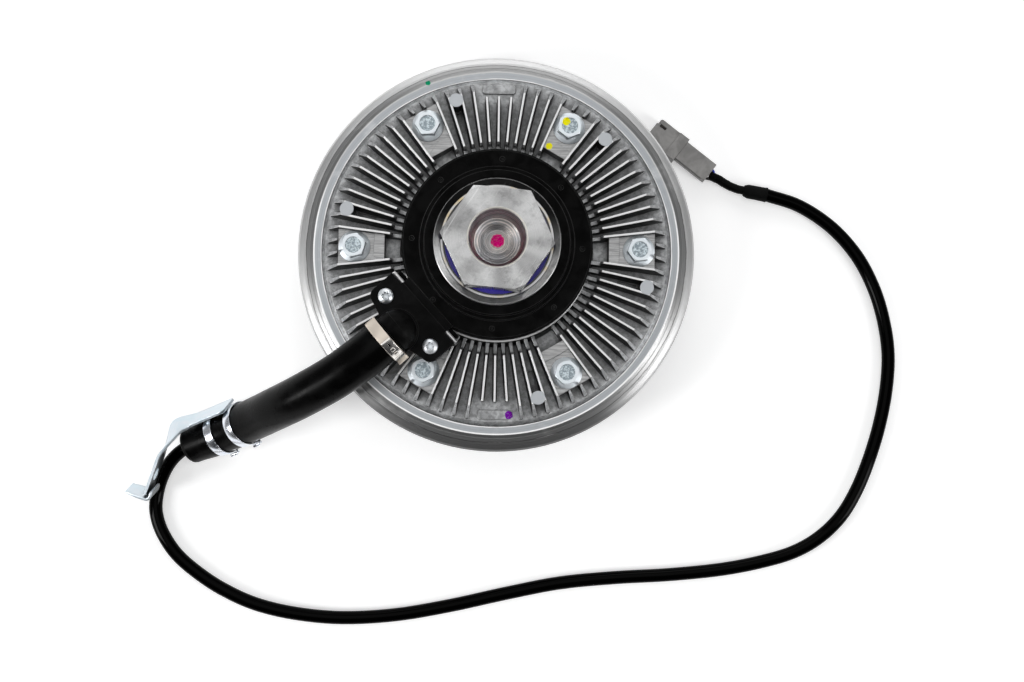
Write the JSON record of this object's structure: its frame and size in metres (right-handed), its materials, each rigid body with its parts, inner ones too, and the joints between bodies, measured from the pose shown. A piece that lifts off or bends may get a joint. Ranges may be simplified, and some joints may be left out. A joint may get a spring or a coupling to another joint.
{
  "type": "viscous fan clutch",
  "caption": "Electronically controlled viscous fan clutch with finned housing, hexagon input shaft, magnet ring, tether hose and sensor cable.",
  "frame": {"origin": "on the shaft axis, in the plane of the front cover's face that the clutch lies on", "axes": "+Z along the shaft axis from the front cover to the hexagon, +X to the right of the picture, +Y to its top"},
  "size_m": [0.5498, 0.4063, 0.13],
  "materials": {
    "cast_aluminium": "die-cast, fine grain",
    "turned_aluminium": "turned rim on a casting",
    "ground_steel": "turned and ground",
    "dark_steel": "phosphated",
    "zinc_steel": "bright zinc plated",
    "yellow_zinc": "yellow passivated zinc",
    "clamp_steel": "stainless strip",
    "ball_chrome": "polished",
    "cage_brass": "pressed",
    "contact_brass": "plated",
    "copper_wire": "enamelled copper winding",
    "black_plastic": "moulded, fine texture",
    "grey_plastic": "moulded",
    "orange_plastic": "moulded",
    "black_rubber": "satin rubber",
    "cable_jacket": "glossy jacket",
    "seal_rubber": "moulded seal",
    "blue_rubber": "moulded seal, deep blue",
    "orange_rubber": "moulded seal",
    "wire_blue": "thin insulation"
  },
  "bodies": {
    "housing": {"rear_housing": "cast_aluminium", "front_cover": "turned_aluminium", "rim_seal": "seal_rubber", "flux_insert": "dark_steel", "tone_ring": "dark_steel", "fan_bolts": "zinc_steel", "main_bearing_outer_race": "ground_steel", "main_bearing_seals": "seal_rubber", "main_bearing_circlip": "dark_steel", "fluid_wipers": "black_plastic", "fill_plug": "zinc_steel"},
    "shaft": {"input_shaft": "ground_steel", "rotor_disc": "cast_aluminium", "reservoir_cover": "cast_aluminium", "reservoir_rivets": "zinc_steel", "rotor_circlip": "dark_steel", "main_bearing_inner_race": "ground_steel", "bearing_spacer": "ground_steel", "coil_bearing_inner_race": "ground_steel", "valve_pivot_pin": "ground_steel", "valve_spring": "ground_steel"},
    "valve": {"valve_lever": "ground_steel", "armature_ring": "dark_steel"},
    "main_cage": {"main_bearing_cage": "cage_brass", "main_bearing_balls": "ball_chrome"},
    "coil_cage": {"coil_bearing_cage": "cage_brass", "coil_bearing_balls": "ball_chrome"},
    "coil": {"coil_housing": "black_plastic", "coil_winding": "copper_wire", "coil_potting": "black_plastic", "pole_ring": "ground_steel", "coil_bearing_outer_race": "ground_steel", "coil_bearing_seals": "blue_rubber", "coil_bearing_circlip": "yellow_zinc", "speed_sensor": "black_plastic", "cable_arm": "black_plastic", "arm_screws": "zinc_steel", "arm_pin": "ground_steel", "cable_elbow": "black_rubber", "ear_clamp": "clamp_steel", "tether_hose": "black_rubber", "hose_plug": "black_rubber", "tether_bracket": "zinc_steel", "bracket_bands": "zinc_steel", "sensor_cable": "cable_jacket", "cable_sleeve": "cable_jacket", "taped_lead": "cable_jacket", "lead_wires": "wire_blue", "connector_body": "grey_plastic", "connector_shell": "grey_plastic", "connector_wedge": "orange_plastic", "connector_contacts": "contact_brass", "connector_seal": "orange_rubber"}
  },
  "joints": [
    {"name": "shaft_spin", "type": "hinge", "parent": "housing", "child": "shaft", "pos_m": [0, 0, 0.0715], "axis": [0, 0, 1], "continuous": true},
    {"name": "coil_swivel", "type": "hinge", "parent": "shaft", "child": "coil", "pos_m": [0, 0, 0.101], "axis": [0, 0, 1], "continuous": true},
    {"name": "main_cage_spin", "type": "hinge", "parent": "housing", "child": "main_cage", "pos_m": [0, 0, 0.0715], "axis": [0, 0, 1], "continuous": true},
    {"name": "coil_cage_spin", "type": "hinge", "parent": "shaft", "child": "coil_cage", "pos_m": [0, 0, 0.101], "axis": [0, 0, 1], "continuous": true},
    {"name": "valve_lift", "type": "hinge", "parent": "shaft", "child": "valve", "pos_m": [-0.057, 0, 0.0502], "axis": [0, -1, 0], "range_deg": [0, 1], "stiffness_Nm_per_rad": 1.5, "springref_deg": -6.88}
  ],
  "couplings": [
    {"joint": "main_cage_spin", "follows": "shaft_spin", "ratio": 0.4023},
    {"joint": "coil_cage_spin", "follows": "coil_swivel", "ratio": 0.5733}
  ]
}
